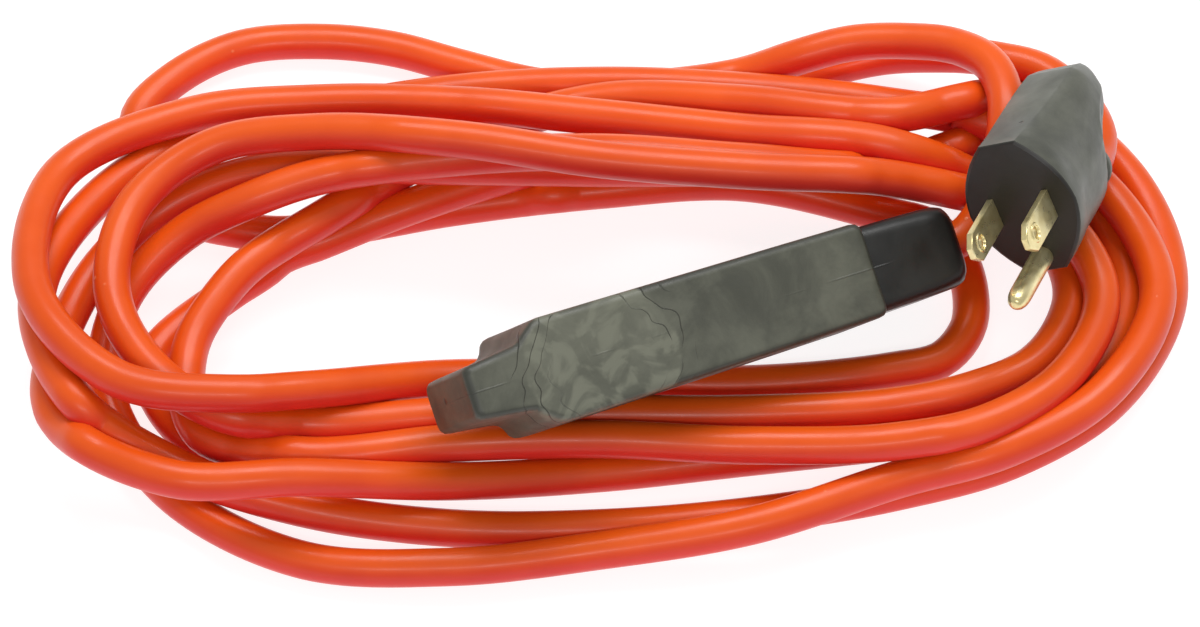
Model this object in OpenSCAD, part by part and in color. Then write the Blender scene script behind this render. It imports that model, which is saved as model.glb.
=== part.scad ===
// Coiled extension cord: three-outlet connector block, angled-exit plug and a hank of round cord.
// Millimetres, +Z up, origin at the bottom centre of the whole part.

/* [Cord] */
// Outer diameter of the cord jacket
cord_d = 8; // [6:0.5:12]
// Overall width of the hank, left to right
hank_w = 252; // [200:1:320]
// Overall depth of the hank, front to back
hank_d = 142; // [110:1:180]
// Depth of the hank's open middle
hank_gap = 54; // [30:1:90]
// Height of the pile of turns
hank_h = 25; // [8:1:40]

/* [Connector block] */
// Length of the wide part that holds the outlets
block_l = 76; // [76:1:120]
// Width of the block at the nose end
block_w = 22; // [21:0.5:32]
// Thickness of the block
block_t = 25; // [24:0.5:30]
// Length of the narrow nose
nose_l = 19; // [8:1:30]
// Width of the nose at its root
nose_w = 14; // [10:0.5:20]
// Length of the strain relief boot
boot_l = 21; // [12:1:30]
// Distance between neighbouring outlets
outlet_pitch = 24.5; // [24:0.5:25]

/* [Plug] */
// Length of the plug body behind its face
plug_l = 42; // [30:1:60]
// Width of the plug face
plug_w = 24.8; // [24:0.2:32]
// Height of the plug face
plug_h = 31.4; // [31:0.2:38]
// Width of the flat ridge along the top and bottom
ridge_w = 8.4; // [8:0.2:12]

/* [Contacts] */
// Spacing between the two flat blades
blade_gap = 12.7; // [12.7]
// Width of each flat blade
blade_w = 6.35; // [6.35]
// Thickness of each flat blade
blade_t = 1.5; // [1.4:0.1:1.6]
// Length of each blade beyond the face
blade_l = 16; // [15.9:0.1:18.2]
// Diameter of the ground pin
pin_d = 4.8; // [4.7:0.1:4.9]
// Length of the ground pin beyond the face
pin_l = 19.5; // [18:0.5:21.4]
// Distance from the blade line to the ground pin
pin_drop = 11.9; // [11.9]

/* [Hidden] */
$fn = 48;
cord_r = cord_d / 2;
clip_d = 0.02;

// where the block lies: centre of the back face of its wide part
block_at = [24, -25, 38.6];
block_turn = [31.3, 9.5, 27];
// where the plug lies: middle of the blade line on its face
plug_at = [88, 0.3, 42];
plug_turn = [68.6, -30.2, -11.3];

body_z = -block_t;
side_y = block_w / 2;
heel_y = side_y - 0.7;
nose_y = 5.6;
boot_y = 9.4;
boot_top = -1.5;
boot_low = -22;
mid_z = -12;
core_x = -36.5;
core_y = 8.4;
face_t = 3;
deck_z = body_z + face_t;
roof_z = -5;
strip_z = -9;
bore_r = cord_r + 0.05;
wire_r = 0.95;
pin_root_r = 2;

// plug face outline: two arcs of radius arc_r about centres arc_c either side, cut flat at the ridges
arc_c = ((plug_h / 2) * (plug_h / 2) + (ridge_w / 2) * (ridge_w / 2)
  - (plug_w / 2) * (plug_w / 2)) / (plug_w - ridge_w);
arc_r = arc_c + plug_w / 2;
relief_at = [0, -8, -23];
relief_tilt = 14;
relief_l = 12;

// route of the cord from the boot's end to the hank, and from the plug to the hank
boot_end = [block_l / 2 + boot_l, 0, mid_z];
lead_a = [[75.5, 8.5, 19.5], [80.5, 13.5, 21.5], [84, 21.5, 24], [86, 31, 26.5], [86.5, 38, 27.5],
  [86, 45, 26.5], [83.5, 52.5, 25], [77, 58, 23], [74, 59.3, 22.2]];
lead_b = [[107, 31, 19], [108, 37, 18], [106, 45, 17], [102, 52, 16], [96, 58, 15], [89, 61, 14],
  [81, 64, 12], [77, 65, 11], [74, 65, 11]];

function turn(v, a) = let(
    p = [v[0], v[1] * cos(a[0]) - v[2] * sin(a[0]), v[1] * sin(a[0]) + v[2] * cos(a[0])],
    q = [p[0] * cos(a[1]) + p[2] * sin(a[1]), p[1], p[2] * cos(a[1]) - p[0] * sin(a[1])]
  ) [q[0] * cos(a[2]) - q[1] * sin(a[2]), q[0] * sin(a[2]) + q[1] * cos(a[2]), q[2]];
function on_block(p) = block_at + turn(p, block_turn);
function on_plug(p) = plug_at + turn(p, plug_turn);
// point inside the plug's strain relief: s along its axis, x and y across it
function in_relief(s, x, y) = relief_at
  + [x, y * cos(relief_tilt) - s * sin(relief_tilt), -s * cos(relief_tilt) - y * sin(relief_tilt)];
function unit(v) = v / norm(v);
// smooth curve through the route points
function bend(p, i, t) = let(
    a = p[max(i - 1, 0)], b = p[i], c = p[i + 1], d = p[min(i + 2, len(p) - 1)]
  ) 0.5 * (2 * b + (c - a) * t + (2 * a - 5 * b + 4 * c - d) * t * t
    + (3 * b - 3 * c + d - a) * t * t * t);
function curve(p, n) = concat(
  [for (i = [0:len(p) - 2], k = [0:n - 1]) bend(p, i, k / n)], [p[len(p) - 1]]);
function heading(q, i) = unit(q[min(i + 1, len(q) - 1)] - q[max(i - 1, 0)]);
function ring_x(h) = unit(cross(h, [0, 0, 1]));

module at_block() {
  translate(block_at)
    rotate(block_turn)
      children();
}

module at_plug() {
  translate(plug_at)
    rotate(plug_turn)
      children();
}

// plain round tube swept through a route
module tube(route, r, steps) {
  q = curve(route, steps);
  n = len(q);
  m = 12;
  pts = [for (i = [0:n - 1], k = [0:m - 1]) let(
      h = heading(q, i), x = ring_x(h), y = cross(h, x)
    ) q[i] + r * (x * cos(360 * k / m) + y * sin(360 * k / m))];
  sides = [for (i = [0:n - 2], k = [0:m - 1])
    [i * m + k, i * m + (k + 1) % m, (i + 1) * m + (k + 1) % m, (i + 1) * m + k]];
  cap_a = [for (k = [m - 1:-1:0]) k];
  cap_b = [for (k = [0:m - 1]) (n - 1) * m + k];
  polyhedron(points = pts, faces = concat([cap_a], sides, [cap_b]), convexity = 4);
}

// ---- hank ----

// cut through the pile of turns, from its inner to its outer edge
module pile_section() {
  a = hank_gap / 2;
  b = hank_d / 2;
  c = 10;
  translate([a + cord_r, 0])
    square([b - a - cord_d, hank_h - c]);
  translate([a, cord_r])
    square([b - a, hank_h - c - cord_r]);
  translate([a + cord_r, cord_r])
    circle(r = cord_r);
  translate([b - cord_r, cord_r])
    circle(r = cord_r);
  translate([a + c, hank_h - c])
    circle(r = c);
  translate([b - c, hank_h - c])
    circle(r = c);
  translate([a + c, cord_d])
    square([b - a - 2 * c, hank_h - cord_d]);
}

module hank() {
  s = hank_w / 2 - hank_d / 2;
  for (m = [0, 1])
    mirror([m, 0, 0])
      translate([s, 0, 0])
        rotate([0, 0, -90])
          rotate_extrude(angle = 180)
            pile_section();
  for (m = [0, 1])
    mirror([0, m, 0])
      translate([-s, 0, 0])
        rotate([90, 0, 90])
          linear_extrude(height = 2 * s)
            pile_section();
}

module cord_coil() {
  color([0.9, 0.3, 0.12])
    difference() {
      hank();
      at_block()
        translate([-70, -20, -block_t])
          cube([140, 40, 40]);
      at_plug()
        translate([-17, -18, -plug_l - 2])
          cube([34, 36, plug_l + 4]);
      at_plug()
        translate([-9, -20, -44])
          cube([18, 22, 24]);
      translate([74, 8, 7])
        cube([50, 70, 30]);
    }
}

module cord_lead_connector() {
  a = on_block(boot_end - [8, 0, 0]);
  b = on_block(boot_end);
  c = on_block(boot_end + [4, 0, 0]);
  color([0.9, 0.3, 0.12])
    tube(concat([a, b, c], lead_a), cord_r, 3);
}

module cord_lead_plug() {
  start = [for (s = [relief_l - 7, relief_l, relief_l + 3]) on_plug(in_relief(s, 0, 0))];
  color([0.9, 0.3, 0.12])
    tube(concat(start, lead_b), cord_r, 3);
}

// ---- connector block ----

module round_slab(w, z0, z1, r) {
  translate([r - w / 2, z0])
    square([w - 2 * r, z1 - z0]);
  translate([-w / 2, z0 + r])
    square([w, z1 - z0 - 2 * r]);
  for (x = [r - w / 2, w / 2 - r], z = [z0 + r, z1 - r])
    translate([x, z])
      circle(r = r);
}

// section in the block's width and thickness, run along its length from x0 to x1
module along_block(x0, x1) {
  translate([x0, 0, 0])
    rotate([90, 0, 90])
      linear_extrude(height = x1 - x0)
        children();
}

module nose_plan() {
  x0 = -block_l / 2;
  f = 3.5;
  difference() {
    polygon([[x0 - nose_l, -nose_y], [x0, -nose_w / 2 - f], [x0 + 1, -nose_w / 2 - f],
      [x0 + 1, nose_w / 2 + f], [x0, nose_w / 2 + f], [x0 - nose_l, nose_y]]);
    for (s = [-1, 1])
      translate([x0 - f, s * (nose_w / 2 + f)])
        circle(r = f);
    for (s = [-1, 1])
      translate([x0 - nose_l - 1, s > 0 ? nose_w / 2 : -nose_w / 2 - 6])
        square([nose_l - f + 1, 6]);
  }
}

module block_shell() {
  x0 = -block_l / 2;
  intersection() {
    along_block(x0, block_l / 2)
      round_slab(block_w, body_z, 0, 2.5);
    translate([0, 0, body_z - 1])
      linear_extrude(height = block_t + 2)
        polygon([[x0 + 2, -side_y], [x0, -side_y + 2], [x0, side_y - 2], [x0 + 2, side_y],
          [block_l / 2, heel_y], [block_l / 2, -heel_y]]);
  }
  intersection() {
    along_block(x0 - nose_l, x0 + 1)
      round_slab(block_w, body_z, 0, 2.5);
    translate([0, 0, body_z - 1])
      linear_extrude(height = block_t + 2)
        nose_plan();
  }
}

module block_cavity() {
  translate([core_x, -core_y, deck_z])
    cube([block_l / 2 - core_x + clip_d, 2 * core_y, roof_z - deck_z]);
  for (i = [-1:1])
    translate([i * outlet_pitch - 11.5, -core_y, body_z - 1])
      cube([23, 2 * core_y, face_t + 1 + clip_d]);
}

module connector_body() {
  color([0.3, 0.3, 0.26])
    at_block()
      difference() {
        block_shell();
        block_cavity();
      }
}

module connector_boot() {
  x1 = block_l / 2;
  color([0.12, 0.12, 0.12])
    at_block()
      difference() {
        intersection() {
          along_block(x1, x1 + boot_l)
            round_slab(2 * boot_y, boot_low, boot_top, 3);
          translate([0, 0, boot_low - 1])
            linear_extrude(height = 20)
              polygon([[x1, -boot_y], [x1 + boot_l - 3, -boot_y + 0.6], [x1 + boot_l, -boot_y + 3],
                [x1 + boot_l, boot_y - 3], [x1 + boot_l - 3, boot_y - 0.6], [x1, boot_y]]);
        }
        translate([x1 - 1, -7, mid_z - 5])
          cube([10, 14, 10]);
        translate([x1 + 8, 0, mid_z])
          rotate([0, 90, 0])
            cylinder(r = bore_r, h = boot_l);
      }
}

// chamber for one contact strip, width w about y
module chamber(y, w) {
  translate([core_x + 1.5, y - w / 2, deck_z - 0.5])
    cube([block_l / 2 - core_x, w, strip_z - deck_z + 1.5]);
}

module contact_carrier() {
  color([0.85, 0.83, 0.76])
    at_block()
      difference() {
        translate([core_x, -core_y, deck_z])
          cube([block_l / 2 - core_x, 2 * core_y, roof_z - deck_z]);
        chamber(blade_gap / 2, 2.8);
        chamber(-blade_gap / 2, 2.8);
        chamber(0, 5.6);
      }
}

// one outlet face: two blade slots across the width and a round ground hole
module outlet_face(i) {
  x = i * outlet_pitch;
  color([0.16, 0.16, 0.15])
    at_block()
      difference() {
        translate([x - 11.5, -core_y, body_z])
          cube([23, 2 * core_y, face_t]);
        for (s = [-1, 1])
          translate([x - 9, s * blade_gap / 2 - 1, body_z - 1])
            cube([7.8, 2, face_t + 2]);
        translate([x + 6.8, 0, body_z - 1])
          cylinder(r = pin_d / 2 + 0.3, h = face_t + 2);
      }
}

module outlet_face_1() {
  outlet_face(-1);
}

module outlet_face_2() {
  outlet_face(0);
}

module outlet_face_3() {
  outlet_face(1);
}

// long strip on the chamber floor with a pair of spring leaves at each outlet
module bus(y, w, leaf, x_in) {
  color([0.85, 0.66, 0.3])
    at_block() {
      translate([core_x + 2.5, y - w / 2, strip_z])
        cube([block_l / 2 - core_x - 3.5, w, 1]);
      for (i = [-1:1], s = [0, 1])
        translate([i * outlet_pitch + x_in - 3, y - w / 2 + s * (w - leaf), deck_z + 1])
          cube([6, leaf, strip_z - deck_z - 0.5]);
    }
}

module bus_hot() {
  bus(blade_gap / 2, 2.5, 0.5, -5);
}

module bus_neutral() {
  bus(-blade_gap / 2, 2.5, 0.5, -5);
}

module bus_ground() {
  bus(0, 5.4, 0.4, 6.8);
}

// from the end of a contact strip to the cord's end inside the boot
module connector_wire(y0, y1, z1) {
  x1 = block_l / 2;
  p = [[x1 - 1, y0, -8.5], [x1 + 3, y0 * 0.8, -8.8], [x1 + 8, y1, z1], [x1 + 13, y1, z1]];
  tube([for (q = p) on_block(q)], wire_r, 3);
}

module connector_wire_hot() {
  color([0.1, 0.1, 0.1])
    connector_wire(blade_gap / 2, 2, mid_z + 1);
}

module connector_wire_neutral() {
  color([0.92, 0.92, 0.9])
    connector_wire(-blade_gap / 2, -2, mid_z + 1);
}

module connector_wire_ground() {
  color([0.1, 0.5, 0.2])
    connector_wire(0, 0, mid_z - 2);
}

// ---- plug ----

module plug_outline() {
  intersection() {
    translate([-arc_c, 0])
      circle(r = arc_r, $fn = 96);
    translate([arc_c, 0])
      circle(r = arc_r, $fn = 96);
    square([plug_w, plug_h], center = true);
  }
}

// plug body without its pockets: face outline cut by a side profile and a plan profile
module plug_shell() {
  l = plug_l;
  w = plug_w / 2;
  h = plug_h / 2;
  intersection() {
    translate([0, 0, -l])
      linear_extrude(height = l)
        plug_outline();
    translate([w + 1, 0, 0])
      rotate([0, -90, 0])
        linear_extrude(height = plug_w + 2)
          polygon([[1, h + 1], [0, h], [-8, h - 1], [-l + 3, h - 3.6], [-l, h - 6.5],
            [-l, -1], [-30, -4], [-23, -14.5], [-10, -h + 1], [0, -h], [1, -h - 1]]);
    rotate([90, 0, 0])
      linear_extrude(height = plug_h + 2, center = true)
        polygon([[w, 1], [w, -2], [w - 1.6, -9], [w - 1.4, -18], [w - 3.4, -32], [8.2, -l + 3],
          [6.6, -l], [-6.6, -l], [-8.2, -l + 3], [3.4 - w, -32], [1.4 - w, -18], [1.6 - w, -9],
          [-w, -2], [-w, 1]]);
  }
}

module core_outline() {
  polygon([[-8.4, -5], [-3.8, -5], [-3.8, -14.6], [3.8, -14.6], [3.8, -5], [8.4, -5],
    [8.4, 5], [-8.4, 5]]);
}

module blade_holes() {
  for (s = [-1, 1])
    translate([s * blade_gap / 2 - blade_t / 2, -blade_w / 2, -14])
      cube([blade_t, blade_w, 20]);
  translate([0, -pin_drop, -14])
    cylinder(r = pin_root_r, h = 20);
}

module plug_body() {
  color([0.36, 0.37, 0.32])
    at_plug()
      difference() {
        plug_shell();
        translate([0, 0, -11])
          linear_extrude(height = 9)
            core_outline();
        blade_holes();
        translate([-8.4, -13, -21])
          cube([16.8, 18, 10 + clip_d]);
        relief_space();
      }
}

// the moulded root of the strain relief is seated in the plug body
module relief_space() {
  translate(relief_at)
    rotate([-relief_tilt, 0, 0])
      translate([0, 0, -1.5])
        cylinder(r = 5.6, h = 7);
}

module plug_strain_relief() {
  color([0.2, 0.2, 0.18])
    at_plug()
      translate(relief_at)
        rotate([-relief_tilt, 0, 0])
          difference() {
            union() {
              translate([0, 0, -1.5])
                cylinder(r = 5.6, h = 4.5);
              translate([0, 0, -relief_l])
                cylinder(r1 = 4.8, r2 = 5.6, h = relief_l);
            }
            translate([0, 0, -relief_l - 1])
              cylinder(r = bore_r, h = relief_l + 6);
            for (k = [0:2])
              translate([0, 0, -4 - 2.6 * k])
                difference() {
                  cylinder(r = 7, h = 1.2);
                  cylinder(r = 4.6, h = 1.2);
                }
          }
}

module plug_core() {
  color([0.85, 0.83, 0.76])
    at_plug()
      difference() {
        translate([0, 0, -11])
          linear_extrude(height = 9)
            core_outline();
        blade_holes();
      }
}

module blade(s) {
  x = s * blade_gap / 2;
  color([0.83, 0.68, 0.36])
    at_plug()
      translate([x - blade_t / 2, 0, 0])
        rotate([90, 0, 90])
          linear_extrude(height = blade_t)
            difference() {
              polygon([[-blade_w / 2, -13], [blade_w / 2, -13], [blade_w / 2, blade_l - 1.8],
                [blade_w / 2 - 1.6, blade_l], [1.6 - blade_w / 2, blade_l],
                [-blade_w / 2, blade_l - 1.8]]);
              translate([0, blade_l - 5])
                circle(r = 1.6);
            }
}

module blade_hot() {
  blade(-1);
}

module blade_neutral() {
  blade(1);
}

module ground_pin() {
  color([0.83, 0.68, 0.36])
    at_plug()
      translate([0, -pin_drop, 0]) {
        translate([0, 0, -13])
          cylinder(r = pin_root_r, h = 14);
        cylinder(r = pin_d / 2, h = pin_l - pin_d / 2);
        translate([0, 0, pin_l - pin_d / 2])
          sphere(r = pin_d / 2);
      }
}

module crimp(x, y) {
  color([0.83, 0.68, 0.36])
    at_plug()
      translate([x, y, -18])
        difference() {
          cylinder(r = 1.9, h = 5);
          translate([0, 0, -1])
            cylinder(r = wire_r, h = 5);
        }
}

module crimp_hot() {
  crimp(-blade_gap / 2, 0);
}

module crimp_neutral() {
  crimp(blade_gap / 2, 0);
}

module crimp_ground() {
  crimp(0, -10.6);
}

// from the crimp to the cord's end inside the strain relief
module plug_wire(x0, y0, x1, y1) {
  p = [[x0, y0, -14], [x0, y0, -18], in_relief(-3, x1, y1), in_relief(5, x1, y1)];
  tube([for (q = p) on_plug(q)], wire_r, 3);
}

module plug_wire_hot() {
  color([0.1, 0.1, 0.1])
    plug_wire(-blade_gap / 2, 0, -1.6, 0.9);
}

module plug_wire_neutral() {
  color([0.92, 0.92, 0.9])
    plug_wire(blade_gap / 2, 0, 1.6, 0.9);
}

module plug_wire_ground() {
  color([0.1, 0.5, 0.2])
    plug_wire(0, -10.6, 0, -2);
}

cord_coil();
cord_lead_connector();
cord_lead_plug();
connector_body();
connector_boot();
contact_carrier();
outlet_face_1();
outlet_face_2();
outlet_face_3();
bus_hot();
bus_neutral();
bus_ground();
connector_wire_hot();
connector_wire_neutral();
connector_wire_ground();
plug_body();
plug_strain_relief();
plug_core();
blade_hot();
blade_neutral();
ground_pin();
crimp_hot();
crimp_neutral();
crimp_ground();
plug_wire_hot();
plug_wire_neutral();
plug_wire_ground();
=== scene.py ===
import math

import bmesh
import bpy
import numpy as np
from mathutils import Euler, Matrix, Vector


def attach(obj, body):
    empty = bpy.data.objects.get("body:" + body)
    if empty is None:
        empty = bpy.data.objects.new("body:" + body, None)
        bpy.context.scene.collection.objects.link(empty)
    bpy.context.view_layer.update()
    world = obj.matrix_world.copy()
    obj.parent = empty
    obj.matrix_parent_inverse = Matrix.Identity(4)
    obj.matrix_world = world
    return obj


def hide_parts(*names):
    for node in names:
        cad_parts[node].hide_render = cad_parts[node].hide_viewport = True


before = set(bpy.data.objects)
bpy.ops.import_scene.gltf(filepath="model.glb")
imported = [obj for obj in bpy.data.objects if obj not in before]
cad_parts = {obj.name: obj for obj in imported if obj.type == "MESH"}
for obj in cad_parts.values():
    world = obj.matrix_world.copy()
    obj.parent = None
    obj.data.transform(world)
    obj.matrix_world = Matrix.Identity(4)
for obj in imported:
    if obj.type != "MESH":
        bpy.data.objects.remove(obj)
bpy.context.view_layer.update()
scene = bpy.context.scene
MM = 0.001  # shapes are worked out in millimetres and made in metres

# ---------------------------------------------------------------- camera
ELEVATION = math.radians(55)
DISTANCE = 1080.0
AIM = np.array([0.0, -4.0, 10.0])
BACK = np.array([0.0, -math.cos(ELEVATION), math.sin(ELEVATION)])  # from the aim to the eye
EYE = AIM + DISTANCE * BACK

cam = bpy.data.objects.new("camera", bpy.data.cameras.new("camera"))
scene.collection.objects.link(cam)
cam.data.lens = 152
cam.data.sensor_width = 36
cam.data.clip_start = 0.05
cam.location = Vector(EYE * MM)
cam.rotation_euler = (math.pi / 2 - ELEVATION, 0, 0)
scene.camera = cam


# ---------------------------------------------------------------- mesh tools
def rounded(corners, radii, steps=5):
    """Closed outline through the corners, each rounded with its radius."""
    out = []
    n = len(corners)
    for i in range(n):
        p = np.array(corners[i], float)
        a = np.array(corners[i - 1], float) - p
        b = np.array(corners[(i + 1) % n], float) - p
        r = min(radii[i], 0.45 * np.linalg.norm(a), 0.45 * np.linalg.norm(b))
        a = p + a / np.linalg.norm(a) * r
        b = p + b / np.linalg.norm(b) * r
        for t in np.linspace(0, 1, steps):
            out.append((1 - t) ** 2 * a + 2 * t * (1 - t) * p + t * t * b)
    return np.array(out)


def circle(steps):
    """Angles spread evenly once round a circle."""
    return np.linspace(0, 2 * math.pi, steps, endpoint=False)


def bridge(bm, rows):
    """Quads between each ring of vertices and the next."""
    for a, b in zip(rows, rows[1:]):
        for k in range(len(a)):
            m = (k + 1) % len(a)
            bm.faces.new((a[k], a[m], b[m], b[k]))


def loft(name, rings):
    """Closed skin through rings of points, with a flat cap at each end."""
    bm = bmesh.new()
    rows = [[bm.verts.new(Vector(p) * MM) for p in ring] for ring in rings]
    bridge(bm, rows)
    bm.faces.new(list(reversed(rows[0])))
    bm.faces.new(rows[-1])
    bmesh.ops.recalc_face_normals(bm, faces=bm.faces)
    mesh = bpy.data.meshes.new(name)
    bm.to_mesh(mesh)
    bm.free()
    return mesh


def place(name, mesh, at, turn):
    """Object that holds a mesh made in the block's or the plug's own directions."""
    o = bpy.data.objects.new(name, mesh)
    o.matrix_world = Matrix.Translation(Vector(at * MM)) @ Matrix(turn.tolist()).to_4x4()
    scene.collection.objects.link(o)
    return o


def finish_mesh(o, angle=35):
    """Smooth shading, crisp along edges that turn more than the angle."""
    o.data.shade_smooth()
    o.data.set_sharp_from_angle(angle=math.radians(angle))
    weights = o.modifiers.new("normals", "WEIGHTED_NORMAL")
    weights.keep_sharp = True


def box_mesh(name, low, high):
    """Plain box between two corners."""
    ring = [(low[0], low[1]), (high[0], low[1]), (high[0], high[1]), (low[0], high[1])]
    return loft(name, [[(x, y, z) for x, y in ring] for z in (low[2], high[2])])


def evaluated_mesh(o):
    """New mesh with the object's modifiers or curve settings worked in."""
    bpy.context.view_layer.update()
    graph = bpy.context.evaluated_depsgraph_get()
    return bpy.data.meshes.new_from_object(o.evaluated_get(graph))


def cut_out(o, cutters):
    """Take the cutters' shapes out of a mesh, for good."""
    for c in cutters:
        cut = o.modifiers.new("cut", "BOOLEAN")
        cut.object = c
        cut.solver = "EXACT"
    mesh = evaluated_mesh(o)
    o.modifiers.clear()
    o.data = mesh
    for c in cutters:
        bpy.data.objects.remove(c)


def stand_for(o, slot, *nodes):
    """Let a visible piece take the place of the CAD nodes, on the only body."""
    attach(o, "root")
    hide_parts(*nodes)


# ---------------------------------------------------------------- cord route
CORD_D = 8.0
RADIUS = CORD_D / 2
PLAN_HEIGHT = 12.0  # height of the plane that the hank's plan below is drawn on
LAYER = 2.0  # height from one layer mark to the next
END_X = 62.0  # centre of each round end of the hank
CORD_SIDES = 20
KNOT_POWER = 0.75  # of the distance between two points, for the curve's knots
CURVE_PARTS = 40  # pieces between two points of the curve, before it is cut into even steps

# where the plan's points lie: along the straight sides, and round the two ends, in degrees
STRAIGHT = (-END_X, -31, 0, 31, END_X)
RIGHT_END = (60, 30, 0, -30, -60)
LEFT_END = (240, 210, 180, 150, 120)

# Each full turn, clockwise from the back left: how far back it lies at five places along the
# back, its radius at five angles round the right end, where it lies at five places along the
# front, and its radius round the left end. Then the layer it starts from at each of those
# places, 0 on the floor; settle() below works out the final heights.
TURNS = (
    ((16, 22.5, 27, 29, 20.5), (19.5, 17.5, 17, 18.5, 20),
     (-20, -23.5, -22.5, -22, -25), (30, 45, 58.5, 63.5, 55),
     "00000 00000 00137 88877"),
    ((51, 50.5, 47, 43, 39.5), (36, 37, 38.5, 35, 29.5),
     (-29, -31, -31, -31.5, -33.5), (35.5, 38, 42, 45, 45),
     "77777 53333 22234 56788"),
    ((43, 41, 35.5, 32.5, 30.5), (31, 41, 45, 42, 38.5),
     (-38, -39, -37.5, -38.5, -41.5), (42, 28.5, 18.5, 15, 14.5),
     "88888 76555 55543 32222"),
    ((18, 40, 51.5, 51, 47.5), (60, 61, 59.5, 53.5, 49),
     (-50.5, -56.5, -59.5, -59.5, -54.5), (51.5, 55.5, 58, 52.5, 48.5),
     "34443 00000 00012 36543"),
    ((48, 54, 56, 54.5, 50.5), (51, 54.5, 57, 51, 46),
     (-47.5, -59, -65, -69, -67), (57, 48.5, 39, 31.5, 28),
     "33333 33333 22110 01246"),
    ((30.5, 36, 37.5, 35, 33), (46, 50, 50.5, 46, 41),
     (-38, -42, -46, -48, -47), (54.5, 61, 48.5, 40, 35),
     "66666 41000 33346 53345"),
    ((33.5, 33.5, 33, 33, 32), (39, 42, 43, 40, 35),
     (-33, -35.5, -36, -36.5, -38.5), (44, 38, 17, 11.5, 11.5),
     "55555 30000 00000 00011"),
)
# from the connector's boot, over the back right corner to the back
START = (
    (75.5, 8.3, 18.8), (80, 12, 20.5), (83.5, 18, 24), (85.5, 24, 27), (86.5, 29.5, 29.5),
    (87, 35, 31), (86.5, 41, 31), (84, 48, 30), (77, 55, 27), (67, 59.5, 23), (55, 62, 19),
    (44, 61.5, 15),
)
# along the back and round the left-hand bend: place on the plan, height
FIRST_PASS = (
    (31, 58.5, 8), (15, 55.5, 5), (0, 54, 4), (-15, 56, 4), (-31, 61, 4), (-46, 66, 4),
    (-62, 68, 4), (-80, 66, 4), (-94, 57, 4), (-101, 47, 4), (-100, 38, 4), (-98, 30, 4),
    (-93, 23, 4), (-87, 19, 4), (-80, 17, 4), (-70, 15.5, 4),
)
# from the last turn, under the others to the back right corner: place on the plan, height
LAST_PASS = (
    (-62, 12.5, 7), (-46, 20.5, 7), (-31, 27, 6), (-15, 33, 5), (0, 37, 4), (15, 43, 4),
    (31, 51, 4), (47, 59, 5), (62, 63.5, 7),
)
# round the back right corner into the plug
FINISH = (
    (74, 65, 11), (81, 64, 12), (89, 61, 14), (96, 58, 15), (102, 52, 16), (106, 45, 17),
    (108, 37, 18), (107, 31, 19),
)

# where the block and the plug lie, and how they are turned
BLOCK_AT = np.array([24.0, -25.0, 38.6])
PLUG_AT = np.array([88.0, 0.3, 42.0])
BLOCK_TURN = np.array(Euler([math.radians(a) for a in (31.3, 9.5, 27)]).to_matrix())
PLUG_TURN = np.array(Euler([math.radians(a) for a in (68.6, -30.2, -11.3)]).to_matrix())
BOOT_EXIT = (59, 0, -12)  # on the block: where the cord comes out of the boot
RELIEF_ROOT = (0, -8, -23)  # on the plug: where the strain relief grows out of the heel
RELIEF_TILT = math.radians(14)  # how far the strain relief leans from the plug's own line


def on_block(*p):
    """A point given in the block's own directions."""
    return BLOCK_AT + BLOCK_TURN @ np.array(p, float)


def on_plug(*p):
    """A point given in the plug's own directions."""
    return PLUG_AT + PLUG_TURN @ np.array(p, float)


def lift(x, y, z):
    """The point at height z that the camera sees over (x, y) on the plan's plane."""
    p = np.array([x, y, PLAN_HEIGHT])
    ray = EYE - p
    return p + ray * (z - PLAN_HEIGHT) / ray[2]


def even(p, step):
    """The same line, cut into even steps of about the given length."""
    length = np.concatenate([[0], np.cumsum(np.linalg.norm(np.diff(p, axis=0), axis=1))])
    at = np.linspace(0, length[-1], int(round(length[-1] / step)) + 1)
    return np.stack([np.interp(at, length, p[:, k]) for k in range(3)], axis=1)


def smooth_curve(points, step):
    """Catmull-Rom curve through the points, cut into even steps."""
    p = np.array(points, float)
    p = np.vstack([2 * p[0] - p[1], p, 2 * p[-1] - p[-2]])
    out = []
    for i in range(1, len(p) - 2):
        a, b, c, d = p[i - 1 : i + 3]
        t0 = 0.0
        t1 = t0 + np.linalg.norm(b - a) ** KNOT_POWER
        t2 = t1 + np.linalg.norm(c - b) ** KNOT_POWER
        t3 = t2 + np.linalg.norm(d - c) ** KNOT_POWER
        for t in np.linspace(t1, t2, CURVE_PARTS, endpoint=False):
            ab = (t1 - t) / (t1 - t0) * a + (t - t0) / (t1 - t0) * b
            bc = (t2 - t) / (t2 - t1) * b + (t - t1) / (t2 - t1) * c
            cd = (t3 - t) / (t3 - t2) * c + (t - t2) / (t3 - t2) * d
            abc = (t2 - t) / (t2 - t0) * ab + (t - t0) / (t2 - t0) * bc
            bcd = (t3 - t) / (t3 - t1) * bc + (t - t1) / (t3 - t1) * cd
            out.append((t2 - t) / (t2 - t1) * abc + (t - t1) / (t2 - t1) * bcd)
    out.append(p[-2])
    return even(np.array(out), step)


def along_side(stations, marks):
    """Plan points along a straight side, from (x, y) pairs."""
    return [lift(x, y, RADIUS + LAYER * int(m)) for (x, y), m in zip(stations, marks)]


def round_end(centre, angles, radii, marks):
    """Plan points round one end of the hank."""
    turns = [(math.radians(a), r) for a, r in zip(angles, radii)]
    stations = [(centre + r * math.cos(t), r * math.sin(t)) for t, r in turns]
    return along_side(stations, marks)


def turn_points(turn):
    """Points of one full turn of the hank, clockwise from the back left."""
    back, right, front, left, marks = turn
    marks = marks.split()
    out = along_side(zip(STRAIGHT, back), marks[0])
    out += round_end(END_X, RIGHT_END, right, marks[1])
    out += along_side(zip(reversed(STRAIGHT), front), marks[2])
    out += round_end(-END_X, LEFT_END, left, marks[3])
    return out


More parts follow.
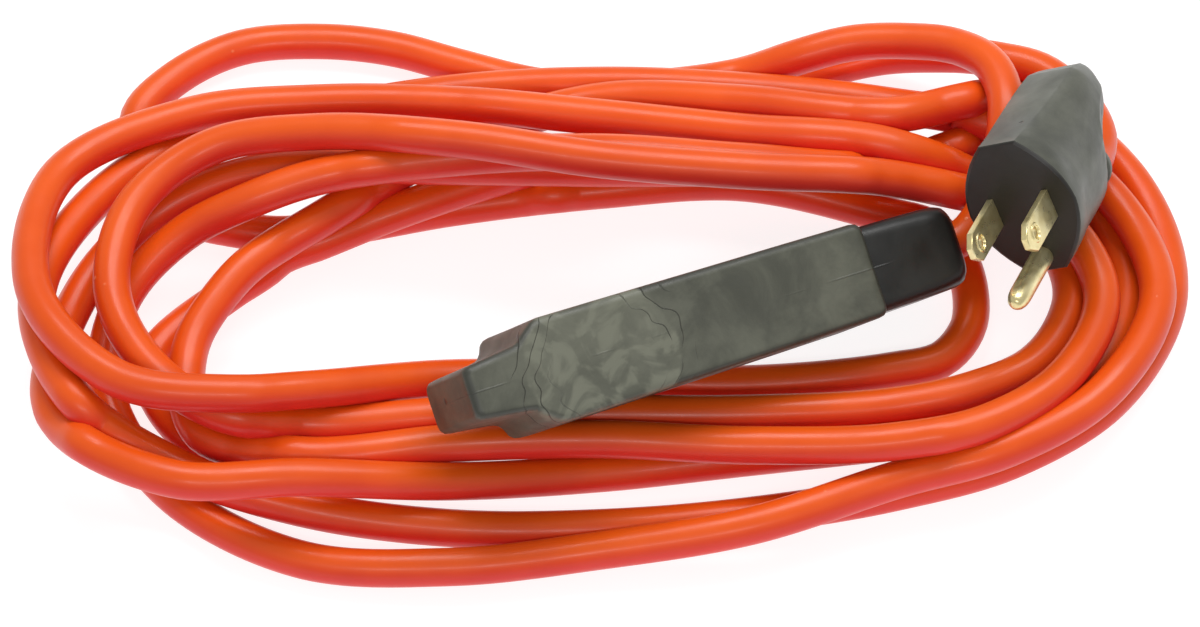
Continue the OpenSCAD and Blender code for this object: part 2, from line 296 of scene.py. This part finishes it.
def whole_route():
    """The cord from inside the boot to inside the strain relief, before it settles."""
    relief_line = PLUG_TURN @ np.array([0, -math.sin(RELIEF_TILT), -math.cos(RELIEF_TILT)])
    route = [on_block(x, *BOOT_EXIT[1:]) for x in (52, 55.5, BOOT_EXIT[0])]
    route += [np.array(p, float) for p in START]
    route += [lift(*p) for p in FIRST_PASS]
    for turn in TURNS:
        route += turn_points(turn)
    route += [lift(*p) for p in LAST_PASS]
    route += [np.array(p, float) for p in FINISH]
    route += [on_plug(*RELIEF_ROOT) + relief_line * s for s in (12, 8.5, 5)]
    return route


# ---------------------------------------------------------------- settling the hank
COARSE_STEP = 4.0  # between the points that settle
FINE_STEP = 2.0  # between the points of the finished line
ROUNDS = 500
RUN = 8  # points over which two stretches keep the same order
APART = 8  # points this near each other along the cord never count as touching
TOUCH = 0.9 * CORD_D  # seen closer than this, two stretches lie over each other
CLEAR_LEAD = 1.5  # a smaller lead in level doesn't say which stretch is on top
SURE_GAP = 6.0  # with no clear lead, only pairs seen closer than this are kept apart
SINK = 0.15  # how far every point sinks in the first round; less in each later one
BEND_REACH = (1, 4, 2, 1)  # over how many points each smoothing step reaches
BEND_SHARE = 0.9  # how much of a bend one smoothing step takes out
PUSH_ROUNDS = 4
PUSH_UP = 0.6  # shares of a missing distance that the upper point rises and the lower one sinks
PUSH_DOWN = 0.4
HIGHEST = 48.0  # no point rises further than this off its place on the floor
FIXED_START = 18  # points at each end that stay where the route puts them
FIXED_END = 26


def regions(pairs):
    """Take a set of index pairs apart into groups of neighbours."""
    while pairs:
        region = []
        stack = [pairs.pop()]
        while stack:
            i, j = stack.pop()
            region.append((i, j))
            around = [(i + 1, j), (i - 1, j), (i, j + 1), (i, j - 1), (i + 1, j - 1), (i - 1, j + 1)]
            for near in around:
                if near in pairs:
                    pairs.remove(near)
                    stack.append(near)
        yield np.array(region).T


def contacts(flat, level):
    """Pairs of points closer than a cord's thickness as the camera sees them, upper one first.
    Where two stretches run together, which of them is on top changes only slowly."""
    gap = np.linalg.norm(flat[:, None] - flat[None], axis=2)
    pairs = {(i, j) for i, j in zip(*np.nonzero(gap < TOUCH)) if j - i > APART}
    upper, lower = [], []
    for i, j in regions(pairs):
        weight = CORD_D - gap[i, j]
        near = np.abs((i + j)[:, None] - (i + j)[None]) <= 2 * RUN
        lead = near @ (weight * (level[i] - level[j])) / (near @ weight)
        overall = np.sum(weight * (level[i] - level[j]))
        weak = np.abs(lead) < CLEAR_LEAD
        lead = np.where(weak, overall, lead)
        keep = ~weak | (gap[i, j] < SURE_GAP)
        upper.append(np.where(lead < 0, j, i)[keep])
        lower.append(np.where(lead < 0, i, j)[keep])
    upper = np.concatenate(upper)
    lower = np.concatenate(lower)
    return upper, lower, np.sqrt(CORD_D**2 - gap[upper, lower] ** 2)


def bending(depth, reach):
    """What would bring each point onto the smooth run of the points around it."""
    n = len(depth)
    far = 2 * reach
    bend = np.zeros(n)
    bend[far:-far] = (
        4 * (depth[reach : n - far - reach] + depth[far + reach : n - reach])
        - depth[: n - 2 * far]
        - depth[2 * far :]
        - 6 * depth[far:-far]
    ) / 16
    return bend


def mean_push(index, push, n):
    """Mean of the pushes that fall on each point, 0 where none does."""
    return np.bincount(index, push, n) / np.maximum(np.bincount(index, minlength=n), 1)


def settle(p):
    """Lower every stretch along the camera's line of sight until it lies on the floor or on
    the stretches below it, a cord's thickness apart, keeping it smooth."""
    n = len(p)
    ray = EYE - p
    ray /= np.linalg.norm(ray, axis=1)[:, None]
    order = np.arange(n)
    free = (order >= FIXED_START) & (order < n - FIXED_END)
    level = p @ BACK
    hi, lo, need = contacts(p - level[:, None] * BACK, level)
    need = need - (level[hi] - level[lo])
    floor = (RADIUS - p[:, 2]) / ray[:, 2]
    depth = np.where(free, np.maximum(0, floor), 0)
    for k in range(ROUNDS):
        depth[free] -= SINK * (1 - k / ROUNDS)
        for reach in BEND_REACH:
            depth[free] += BEND_SHARE * bending(depth, reach)[free]
        for _ in range(PUSH_ROUNDS):
            short = need - (depth[hi] - depth[lo])
            bad = short > 0
            up = mean_push(hi[bad], short[bad], n)
            down = mean_push(lo[bad], short[bad], n)
            depth[free] += (PUSH_UP * up - PUSH_DOWN * down)[free]
            depth = np.where(free, np.clip(depth, floor, floor + HIGHEST), depth)
    return p + ray * depth[:, None]


line = smooth_curve(whole_route(), COARSE_STEP)
line = smooth_curve(settle(line), FINE_STEP)


def tube_mesh(name, line, radius, sides):
    """Round tube along a line; each ring is carried on from the last, so the tube has no twist."""
    heading = np.gradient(line, axis=0)
    heading /= np.linalg.norm(heading, axis=1)[:, None]
    across = np.cross(heading[0], (0, 0, 1.0))
    rings = []
    for p, h in zip(line, heading):
        across = across - h * (across @ h)
        across /= np.linalg.norm(across)
        up = np.cross(across, h)
        angles = circle(sides)
        round_about = np.outer(np.cos(angles), across) + np.outer(np.sin(angles), up)
        rings.append(p + radius * round_about)
    return loft(name, rings)


cord_mesh = tube_mesh("extension_cord", line, RADIUS, CORD_SIDES)
cord = bpy.data.objects.new("extension_cord", cord_mesh)
cord.data.shade_smooth()
scene.collection.objects.link(cord)
stand_for(cord, "cord", "cord_coil", "cord_lead_connector", "cord_lead_plug")

# ---------------------------------------------------------------- connector block
BLOCK_T = 25.0  # thickness, from the smooth back to the outlet side
# along the block: half width of the back face, half width of the outlet side, and how far both
# faces have sunk from their full height, to round the block off at its ends
BLOCK_STATIONS = (
    (-57.0, 4.3, 4.3, 1.6), (-56.7, 5.0, 5.0, 0.8), (-56.0, 5.5, 5.5, 0.25), (-55.0, 5.7, 5.7, 0),
    (-50.0, 6.3, 6.2, 0), (-46.5, 6.7, 6.6, 0), (-45.0, 6.9, 6.9, 0), (-44.0, 7.1, 7.4, 0),
    (-43.0, 7.8, 8.6, 0), (-42.3, 8.4, 10.2, 0), (-41.5, 9.0, 10.8, 0), (-40.5, 9.7, 11, 0),
    (-39.5, 10.4, 11, 0), (-38.5, 10.8, 11, 0), (-37.5, 11, 11, 0), (-20, 10.85, 10.85, 0),
    (0, 10.65, 10.65, 0), (20, 10.5, 10.5, 0), (36.2, 10.3, 10.3, 0), (37.4, 10.1, 10.1, 0.1),
    (38.1, 9.6, 9.6, 0.5), (38.5, 8.8, 8.8, 1.2),
)
PITCH = 24.5  # from one outlet to the next
HOLLOW = 8.4  # half width of the space inside the block
WINDOW = 11.5  # half length of an outlet's window


def block_section(x, back, front, sink):
    """Outline across the block at x."""
    corners = [(back, -sink), (-back, -sink), (-front, sink - BLOCK_T), (front, sink - BLOCK_T)]
    return [(x, y, z) for y, z in rounded(corners, [1.9, 1.9, 2.2, 2.2])]


def block_cutter(low_x, high_x, low_z, high_z):
    """Box to cut out of the block, as wide as the space inside it."""
    mesh = box_mesh("cut", (low_x, -HOLLOW, low_z), (high_x, HOLLOW, high_z))
    return place("cut", mesh, BLOCK_AT, BLOCK_TURN)


block = place(
    "connector_block_shell",
    loft("connector_block_shell", [block_section(*s) for s in BLOCK_STATIONS]),
    BLOCK_AT,
    BLOCK_TURN,
)
# the space inside, and a window in the outlet side for each outlet
cutters = [block_cutter(-36.5, 39, -22, -5)]
for i in (-1, 0, 1):
    cutters.append(block_cutter(i * PITCH - WINDOW, i * PITCH + WINDOW, -26, -21.9))
cut_out(block, cutters)
finish_mesh(block)
stand_for(block, "block", "connector_body")

# ---------------------------------------------------------------- boot
# along the boot: half width, height of the back and of the outlet side, corner radius
BOOT_STATIONS = (
    (37.6, 9.2, -1.4, -22.2, 3), (38.6, 9.4, -1.2, -22.3, 3.2), (46, 9.3, -1.2, -22.2, 3.4),
    (54, 9.1, -1.3, -21.9, 3.8), (57.5, 8.9, -1.6, -21.6, 4.2), (59.3, 8.4, -2.3, -21, 4.2),
    (60.4, 7.5, -3.4, -20, 4), (61, 6.3, -4.8, -18.8, 3.6), (61.2, 5, -6.4, -17.4, 3),
)


def boot_section(x, w, top, low, r):
    """Outline across the boot at x."""
    corners = [(w, top), (-w, top), (-w, low), (w, low)]
    return [(x, y, z) for y, z in rounded(corners, [r] * 4, 7)]


boot = place(
    "connector_boot_shell",
    loft("connector_boot_shell", [boot_section(*s) for s in BOOT_STATIONS]),
    BLOCK_AT,
    BLOCK_TURN,
)
finish_mesh(boot, 60)
stand_for(boot, "boot", "connector_boot")

# ---------------------------------------------------------------- plug
# along the plug, 0 at the face and negative behind it: half width, half width of the top and
# of the bottom ridge, top, bottom
PLUG_STATIONS = (
    (0, 11.9, 3.9, 3.9, 15.2, -15.2), (-0.5, 12.4, 4.2, 4.2, 15.7, -15.7),
    (-2, 12.4, 4.2, 4.2, 15.5, -15.6), (-5, 11.9, 4.3, 4.2, 15.1, -15.2),
    (-10, 11.2, 4.6, 4.3, 14.6, -14.7), (-18, 11.2, 5.1, 4.6, 14.1, -14.6),
    (-23, 10.9, 5.3, 4.8, 13.8, -14.4), (-25.5, 10.6, 5.3, 4.8, 13.6, -11),
    (-28, 10.3, 5.3, 4.8, 13.5, -7), (-32, 9.6, 5.2, 4.8, 13.3, -4), (-34.5, 9.1, 5, 4.6, 13.2, -3),
    (-35.5, 8.9, 4.9, 4.5, 12.9, -2.8), (-39, 7.9, 4.6, 4, 11.6, -2), (-41.2, 6.9, 4.3, 3.6, 10.6, -1.4),
    (-42, 6, 3.9, 3, 9.6, -0.8),
)
HEEL_LOW = -10  # further back than the heel the underside lies above this, and the crease rises
MELT = 8  # how far behind the face its shape takes to change into the body's
SIDE_STEPS = 9  # points from the crease to a ridge


def plug_section(z, w, ridge_top, ridge_low, top, low):
    """Outline with a flat ridge above and below and a crease along each side; the ridge's
    corners are crisp at the face and melt into the sides behind it."""
    mid = 0 if low < HEEL_LOW else (top + low) / 2
    behind = min(1, -z / MELT)
    power = 2 + 3 * behind
    lean = 0.1 + 0.3 * behind

    def half(ridge, end, steps):
        side = []
        for t in steps:
            bulge = lean * t + (1 - lean) * t**power
            side.append((w - (w - ridge) * bulge, mid + (end - mid) * t))
        return side

    right = half(ridge_top, top, np.linspace(1, 0, SIDE_STEPS))
    right += half(ridge_low, low, np.linspace(0, 1, SIDE_STEPS)[1:])
    return [(x, y, z) for x, y in right] + [(-x, y, z) for x, y in reversed(right)]


plug = place(
    "plug_shell",
    loft("plug_shell", [plug_section(*s) for s in PLUG_STATIONS]),
    PLUG_AT,
    PLUG_TURN,
)
finish_mesh(plug, 20)

# the top ridge is soft further back than SOFT_BEHIND, and higher up than SOFT_ABOVE
SOFT_BEHIND = -4.5 * MM
SOFT_ABOVE = 8 * MM
for edge in plug.data.edges:
    ends = [plug.data.vertices[i].co for i in edge.vertices]
    if max(v.z for v in ends) < SOFT_BEHIND and min(v.y for v in ends) > SOFT_ABOVE:
        edge.use_edge_sharp = False
stand_for(plug, "plug", "plug_body")

# tapered strain relief with shallow rings, from the plug's heel along the cord: how far along,
# radius
RELIEF_STATIONS = (
    (-3, 6.6), (0, 6.5), (1.6, 6.3), (2, 5.7), (3.2, 5.7), (3.6, 6.1), (5.2, 6), (5.6, 5.4),
    (6.8, 5.4), (7.2, 5.8), (8.8, 5.7), (9.2, 5.1), (10.4, 5.1), (10.8, 5.5), (12.4, 5.3),
    (12.9, 4.9), (13, 4.2),
)


def relief_ring(s, r):
    """Ring round the strain relief's line, s from its root."""
    x, y, z = RELIEF_ROOT
    centre = np.array([x, y - s * math.sin(RELIEF_TILT), z - s * math.cos(RELIEF_TILT)])
    up = np.array([0, math.cos(RELIEF_TILT), -math.sin(RELIEF_TILT)])
    side = np.array([1.0, 0, 0])
    return [centre + r * (math.cos(a) * side + math.sin(a) * up) for a in circle(32)]


relief = place(
    "strain_relief_sleeve",
    loft("strain_relief_sleeve", [relief_ring(s, r) for s, r in RELIEF_STATIONS]),
    PLUG_AT,
    PLUG_TURN,
)
finish_mesh(relief, 60)
stand_for(relief, "boot", "plug_strain_relief")

# ---------------------------------------------------------------- blades and ground pin
BLADE_OFFSET = 6.35  # half the distance between the two blades
BLADE_LENGTH = 16.0
BLADE_W = 3.17  # half width
BLADE_THICK = 0.5  # half thickness, before the rounded edges add BLADE_EDGE
BLADE_EDGE = 0.25
CHAMFER = (2.1, 2.6)  # at the tip, across and along the blade
BLADE_ROOT = -13  # how deep blades and pin reach into the plug
HOLE_R = 1.55
HOLE_BACK = 4.4  # from the blade's tip to the middle of its hole
HOLE_SIDES = 24
HOLE_LIP = ((1.5, 0.7), (1.6, 0.98), (1.95, 1.0), (2.25, 0.7))  # radius, height off the middle


def blade_sheet(name, length):
    """Flat sheet with a chamfered tip, a hole and rounded edges, drawn across and along."""
    shape = bpy.data.curves.new(name, "CURVE")
    shape.dimensions = "2D"
    shape.fill_mode = "BOTH"
    w = BLADE_W
    across, along = CHAMFER
    outline = [
        (-w, BLADE_ROOT), (w, BLADE_ROOT), (w, length - along),
        (w - across, length), (across - w, length), (-w, length - along),
    ]
    hole = []
    for a in circle(HOLE_SIDES):
        hole.append((HOLE_R * math.cos(a), length - HOLE_BACK + HOLE_R * math.sin(a)))
    for points in (outline, hole):
        s = shape.splines.new("POLY")
        s.points.add(len(points) - 1)
        for p, (u, v) in zip(s.points, points):
            p.co = (u * MM, v * MM, 0, 1)
        s.use_cyclic_u = True
    shape.extrude = BLADE_THICK * MM
    shape.bevel_depth = BLADE_EDGE * MM
    shape.bevel_resolution = 2
    temp = bpy.data.objects.new("temp", shape)
    scene.collection.objects.link(temp)
    mesh = evaluated_mesh(temp)
    bpy.data.objects.remove(temp)
    return mesh


def blade(name, x, length):
    """Flat blade: its sheet, and a raised ring round the hole on both faces."""
    mesh = blade_sheet(name, length)
    # the drawing's own two directions are the blade's width and its length
    mesh.transform(Matrix(((0, 0, 1, x * MM), (1, 0, 0, 0), (0, 1, 0, 0), (0, 0, 0, 1))))
    bm = bmesh.new()
    bm.from_mesh(mesh)
    for face in (-1, 1):
        rows = []
        for r, out in HOLE_LIP:
            row = []
            for a in circle(HOLE_SIDES):
                at = (x + face * out, r * math.cos(a), length - HOLE_BACK + r * math.sin(a))
                row.append(bm.verts.new(Vector(at) * MM))
            rows.append(row)
        bridge(bm, rows)
    bmesh.ops.recalc_face_normals(bm, faces=bm.faces)
    bm.to_mesh(mesh)
    bm.free()
    o = place(name + "_strip", mesh, PLUG_AT, PLUG_TURN)
    finish_mesh(o, 40)
    stand_for(o, "brass", name)
    return o


BLADES = [
    blade("blade_hot", BLADE_OFFSET, BLADE_LENGTH),
    blade("blade_neutral", -BLADE_OFFSET, BLADE_LENGTH),
]

PIN_Y = -11.9  # from the middle of the face down to the pin
GROOVE_W = 0.3  # half width of the seam groove, in radians
# out from the face: how far, radius, depth of the groove
PIN_STATIONS = (
    (BLADE_ROOT, 2, 0), (-0.2, 2, 0), (0, 2.4, 0), (1, 2.4, 0.1), (2, 2.4, 0.45), (14, 2.4, 0.45),
    (15.5, 2.38, 0.3), (16.8, 2.25, 0.1), (18, 1.9, 0), (18.9, 1.3, 0), (19.4, 0.6, 0),
)


def pin_ring(z, radius, groove):
    """Ring of the round pin, dipped along its upper side where the rolled sheet meets."""
    ring = []
    for a in circle(40):
        r = radius - groove * math.exp(-(((a - math.pi / 2) / GROOVE_W) ** 2))
        ring.append((r * math.cos(a), PIN_Y + r * math.sin(a), z))
    return ring


pin = place(
    "ground_pin_rolled",
    loft("ground_pin_rolled", [pin_ring(*s) for s in PIN_STATIONS]),
    PLUG_AT,
    PLUG_TURN,
)
finish_mesh(pin, 50)
stand_for(pin, "brass", "ground_pin")


# ---------------------------------------------------------------- materials
class Shader:
    """A material's node tree, built one node at a time."""

    def __init__(self, name):
        self.material = bpy.data.materials.new(name)
        self.material.use_nodes = True
        self.nodes = self.material.node_tree.nodes
        self.links = self.material.node_tree.links
        self.bsdf = self.nodes["Principled BSDF"]
        self.co = self.nodes.new("ShaderNodeTexCoord")
        self.last_bump = None

    def put(self, socket, value):
        """Link a node's output into the socket, or set the socket's constant."""
        if isinstance(value, bpy.types.NodeSocket):
            self.links.new(value, socket)
        elif isinstance(value, tuple) and len(value) == 3 and socket.type == "RGBA":
            socket.default_value = (*value, 1)
        else:
            socket.default_value = value

    def set(self, **values):
        """Set the surface's own inputs, named with _ for each space."""
        for key, value in values.items():
            self.put(self.bsdf.inputs[key.replace("_", " ")], value)

    def noise(self, scale, detail=4, rough=0.55, distortion=0):
        n = self.nodes.new("ShaderNodeTexNoise")
        self.put(n.inputs["Vector"], self.co.outputs["Object"])
        self.put(n.inputs["Scale"], scale)
        self.put(n.inputs["Detail"], detail)
        self.put(n.inputs["Roughness"], rough)
        self.put(n.inputs["Distortion"], distortion)
        return n.outputs["Fac"]

    def spots(self, scale):
        n = self.nodes.new("ShaderNodeTexVoronoi")
        self.put(n.inputs["Vector"], self.co.outputs["Object"])
        self.put(n.inputs["Scale"], scale)
        return n.outputs["Distance"]

    def remap(self, value, a, b, low=0.0, high=1.0):
        """Smooth step from low, where the value is a or less, to high, where it is b or more."""
        n = self.nodes.new("ShaderNodeMapRange")
        n.interpolation_type = "SMOOTHSTEP"
        self.put(n.inputs["Value"], value)
        self.put(n.inputs["From Min"], a)
        self.put(n.inputs["From Max"], b)
        self.put(n.inputs["To Min"], low)
        self.put(n.inputs["To Max"], high)
        return n.outputs["Result"]

    def math(self, op, a, b=0.0):
        n = self.nodes.new("ShaderNodeMath")
        n.operation = op
        self.put(n.inputs[0], a)
        self.put(n.inputs[1], b)
        return n.outputs[0]

    def mix(self, fac, a, b):
        n = self.nodes.new("ShaderNodeMix")
        n.data_type = "RGBA"
        self.put(n.inputs["Factor"], fac)
        self.put(n.inputs[6], a)
        self.put(n.inputs[7], b)
        return n.outputs[2]

    def axis(self, name):
        """The object's own X, Y or Z."""
        n = self.nodes.new("ShaderNodeSeparateXYZ")
        self.put(n.inputs[0], self.co.outputs["Object"])
        return n.outputs[name]

    def facing(self, direction):
        """1 where the surface faces the direction, -1 where it faces away."""
        n = self.nodes.new("ShaderNodeVectorMath")
        n.operation = "DOT_PRODUCT"
        self.put(n.inputs[0], self.co.outputs["Normal"])
        n.inputs[1].default_value = direction
        return n.outputs["Value"]

    def away_from(self, point):
        """Distance from a point of the object."""
        n = self.nodes.new("ShaderNodeVectorMath")
        n.operation = "DISTANCE"
        self.put(n.inputs[0], self.co.outputs["Object"])
        n.inputs[1].default_value = point
        return n.outputs["Value"]

    def bump(self, height, distance, strength=1.0):
        """Add one more bump on top of those already there."""
        n = self.nodes.new("ShaderNodeBump")
        self.put(n.inputs["Height"], height)
        self.put(n.inputs["Distance"], distance)
        self.put(n.inputs["Strength"], strength)
        if self.last_bump:
            self.links.new(self.last_bump, n.inputs["Normal"])
        self.last_bump = n.outputs["Normal"]
        self.links.new(self.last_bump, self.bsdf.inputs["Normal"])


def times(colour, factor):
    """A colour made lighter or darker."""
    return tuple(factor * c for c in colour)


def cord_material():
    """Glossy orange vinyl: painted shade, deeper red underneath and on the sides turned from the key
    light; faint blotches, ripples, moulding specks.
    """
    s = Shader("orange_jacket")
    # painted shade: orange where the surface faces the key light above, deeper red where it turns away
    # from it
    painted_lit_side = s.remap(s.facing((0.0, 0.42, 0.91)), -0.35, 0.85)
    blotch = s.remap(s.noise(38, 5), 0.3, 0.7)
    light = s.mix(blotch, (0.7, 0.077, 0.004), (0.78, 0.1, 0.006))
    painted_shade_red = s.mix(blotch, (0.69, 0.027, 0.021), (0.77, 0.037, 0.024))
    speck = s.remap(s.spots(210), 0.05, 0.12, 1.0, 0.0)
    speck = s.math("MULTIPLY", speck, s.remap(s.noise(26, 2), 0.66, 0.7))
    colour = s.mix(painted_lit_side, painted_shade_red, light)
    colour = s.mix(s.math("MULTIPLY", speck, 0.35), colour, (0.95, 0.4, 0.2))
    gloss = s.remap(s.noise(90, 4), 0.3, 0.7, 0.28, 0.4)
    s.set(Base_Color=colour, Roughness=gloss, IOR=1.45)
    s.set(Specular_IOR_Level=0.36, Coat_Weight=0.05, Coat_Roughness=0.12)
    s.bump(s.noise(70, 2), 0.0002, 0.3)
    s.bump(s.noise(1500, 2), 0.00001, 0.6)
    s.bump(speck, 0.00015, 0.5)
    return s.material


def add_smudge(s, colour, pale, dark, point, radius):
    """Paler swirled patch with a ragged edge, and scribbled lines around it."""
    away = s.away_from(point)
    ragged = s.math("MULTIPLY", s.math("SUBTRACT", s.noise(90, 4), 0.5), 0.006)
    patch = s.remap(s.math("ADD", away, ragged), radius - 0.0009, radius, 1.0, 0.0)
    swirl = s.remap(s.noise(75, 3, 0.5, 2.5), 0.42, 0.6, 0.25, 0.8)
    colour = s.mix(s.math("MULTIPLY", patch, swirl), colour, times(pale, 1.55))
    wander = s.math("MULTIPLY", s.noise(30, 2, 0.5, 0.8), 0.02)
    rings = s.math("PINGPONG", s.math("ADD", wander, away), 0.0014)
    line = s.remap(rings, 0.0, 0.00014, 1.0, 0.0)
    line = s.math("MULTIPLY", line, s.remap(away, radius - 0.007, radius - 0.002))
    line = s.math("MULTIPLY", line, s.remap(away, radius + 0.002, radius + 0.004, 1.0, 0.0))
    line = s.math("MULTIPLY", line, s.remap(s.noise(60, 2), 0.42, 0.5))
    colour = s.mix(s.math("MULTIPLY", line, 0.75), colour, times(dark, 0.3))
    s.bump(line, 0.0002, 0.8)
    return colour


def add_face(s, colour, face):
    """Darker front face, where the blades come out."""
    ahead = s.remap(s.axis("Z"), -0.0006, -0.0002)
    blot = s.remap(s.noise(140, 5), 0.35, 0.65)
    return s.mix(ahead, colour, s.mix(blot, face, times(face, 1.7)))


def add_seam(s, colour, dark):
    """Broken fine groove along the middle, where the mould's halves met."""
    side = s.math("ABSOLUTE", s.axis("Y"))
    groove = s.remap(side, 0.0, 0.0003, 1.0, 0.0)
    groove = s.math("MULTIPLY", groove, s.remap(s.noise(45, 2), 0.48, 0.6))
    s.bump(groove, 0.0001, 0.7)
    return s.mix(s.math("MULTIPLY", groove, 0.35), colour, times(dark, 0.5))


def add_pit(s, colour, dark, point, radius):
    """Small dark dent."""
    pit = s.remap(s.away_from(point), 0.5 * radius, radius, 1.0, 0.0)
    s.bump(s.math("SUBTRACT", 1.0, pit), 0.0004, 0.6)
    return s.mix(s.math("MULTIPLY", pit, 0.7), colour, times(dark, 0.25))


def vinyl(name, pale, dark, rough, smudge=None, face=None, seam=True, pits=()):
    """Moulded flexible vinyl: cloudy bloom, painted shade darkening the rounded edges that turn part way
    from the piece's own Z, fine grain, moulding seam.
    """
    s = Shader(name)
    cloud = s.remap(s.noise(55, 7, 0.62, 0.6), 0.34, 0.66)
    streak = s.remap(s.noise(160, 5, 0.6, 1.5), 0.35, 0.7)
    colour = s.mix(cloud, dark, pale)
    colour = s.mix(s.math("MULTIPLY", streak, 0.25), colour, dark)
    # painted shade: darker on rounded edges and slopes that turn part way from the piece's own Z
    up = s.facing((0, 0, 1))
    edge = s.math("MULTIPLY", s.remap(up, 0.1, 0.5), s.remap(up, 0.9, 0.995, 1.0, 0.0))
    colour = s.mix(s.math("MULTIPLY", edge, 0.7), colour, times(dark, 0.45))
    if smudge:
        colour = add_smudge(s, colour, pale, dark, *smudge)
    if face:
        colour = add_face(s, colour, face)
    if seam:
        colour = add_seam(s, colour, dark)
    for point, radius in pits:
        colour = add_pit(s, colour, dark, point, radius)
    gloss = s.remap(s.noise(130, 5), 0.3, 0.7, rough - 0.06, rough + 0.08)
    s.set(Base_Color=colour, Roughness=gloss, IOR=1.5)
    s.bump(s.noise(1400, 3), 0.00003, 0.5)
    s.bump(s.noise(110, 4), 0.00025, 0.35)
    return s.material


def brass(name, pale, dull):
    """Stamped brass: finely grained, tarnished in clouds."""
    s = Shader(name)
    cloud = s.remap(s.noise(260, 5), 0.35, 0.7)
    gloss = s.remap(s.noise(400, 4), 0.3, 0.7, 0.26, 0.4)
    s.set(Base_Color=s.mix(cloud, dull, pale), Roughness=gloss, Metallic=0.85)
    s.bump(s.noise(900, 3), 0.00001, 0.4)
    return s.material


def hard_plastic(name, colour, rough):
    """Moulded hard plastic with slight mottling and a fine grain."""
    s = Shader(name)
    mottle = s.remap(s.noise(180, 5), 0.3, 0.7)
    s.set(Base_Color=s.mix(mottle, times(colour, 0.82), colour))
    s.set(Roughness=s.remap(s.noise(300, 3), 0.3, 0.7, rough - 0.06, rough + 0.08))
    s.bump(s.noise(1200, 3), 0.00003, 0.5)
    return s.material


def paint(o, material):
    """Give a piece one material."""
    o.data.materials.clear()
    o.data.materials.append(material)


paint(cord, cord_material())
block_vinyl = vinyl(
    "block_vinyl",
    pale=(0.105, 0.108, 0.08),
    dark=(0.05, 0.052, 0.038),
    rough=0.46,
    smudge=((-0.027, -0.001, 0.0), 0.0175),
    pits=[((-0.057, 0.0007, -0.0147), 0.0008)],
)
boot_vinyl = vinyl("boot_vinyl", (0.019, 0.019, 0.017), (0.009, 0.009, 0.008), 0.34)
plug_vinyl = vinyl(
    "plug_vinyl",
    pale=(0.1, 0.103, 0.08),
    dark=(0.055, 0.057, 0.045),
    rough=0.44,
    face=(0.007, 0.005, 0.0035),
    seam=False,
    pits=[((0.002, 0.0144, -0.0105), 0.0006), ((0.0095, 0.003, -0.032), 0.0012)],
)
outlet_vinyl = vinyl("outlet_vinyl", (0.05, 0.05, 0.04), (0.02, 0.02, 0.016), 0.45, seam=False)
bright_brass = brass("pale_brass", (0.9, 0.8, 0.46), (0.74, 0.62, 0.3))
dull_brass = brass("contact_brass", (0.78, 0.56, 0.24), (0.5, 0.34, 0.13))
carrier = hard_plastic("carrier_plastic", (0.7, 0.67, 0.56), 0.5)
wire_colours = {
    "hot": hard_plastic("wire_black", (0.02, 0.02, 0.02), 0.4),
    "neutral": hard_plastic("wire_white", (0.8, 0.79, 0.75), 0.4),
    "ground": hard_plastic("wire_green", (0.03, 0.28, 0.07), 0.4),
}
paint(block, block_vinyl)
paint(boot, boot_vinyl)
paint(plug, plug_vinyl)
paint(relief, plug_vinyl)
for o in BLADES + [pin]:
    paint(o, bright_brass)

# the CAD's own nodes, of which the hidden inner ones are shown as they are
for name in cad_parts:
    o = bpy.data.objects[name]
    if name.startswith("cord_"):
        continue
    if "_wire_" in name:
        paint(o, wire_colours[name.split("_")[-1]])
    elif name.startswith(("bus", "crimp", "blade", "ground_pin")):
        paint(o, dull_brass)
    elif name in ("contact_carrier", "plug_core"):
        paint(o, carrier)
    elif name.startswith("outlet_face"):
        paint(o, outlet_vinyl)
    else:
        paint(o, plug_vinyl)

# ---------------------------------------------------------------- floor and light
bpy.ops.mesh.primitive_plane_add(size=6, location=(0, 0, 0))
floor = bpy.context.object
floor.name = "floor"
glow = Shader("floor")  # glows a little, so that it shows white with only a faint shadow
glow.set(Base_Color=(0.3, 0.3, 0.3), Roughness=0.9, Specular_IOR_Level=0.1)
glow.set(Emission_Color=(1, 1, 1), Emission_Strength=0.84)
floor.data.materials.append(glow.material)

world = bpy.data.worlds.new("world")
scene.world = world
world.use_nodes = True
sky = world.node_tree.nodes["Background"].inputs
sky["Color"].default_value = (1, 1, 1, 1)
sky["Strength"].default_value = 0.5


def area_light(name, at, size, power):
    """Rectangular light that points at the middle of the floor."""
    data = bpy.data.lights.new(name, "AREA")
    data.shape = "RECTANGLE"
    data.size, data.size_y = size
    data.energy = power
    o = bpy.data.objects.new(name, data)
    o.location = at
    o.rotation_euler = (-Vector(at)).to_track_quat("-Z", "Y").to_euler()
    scene.collection.objects.link(o)


area_light("key", (0.1, 0.4, 0.9), (0.9, 0.4), 7.6)
area_light("front", (-0.05, -0.75, 0.85), (0.6, 0.08), 2.3)

scene.view_settings.view_transform = "Standard"

bpy.context.view_layer.update()
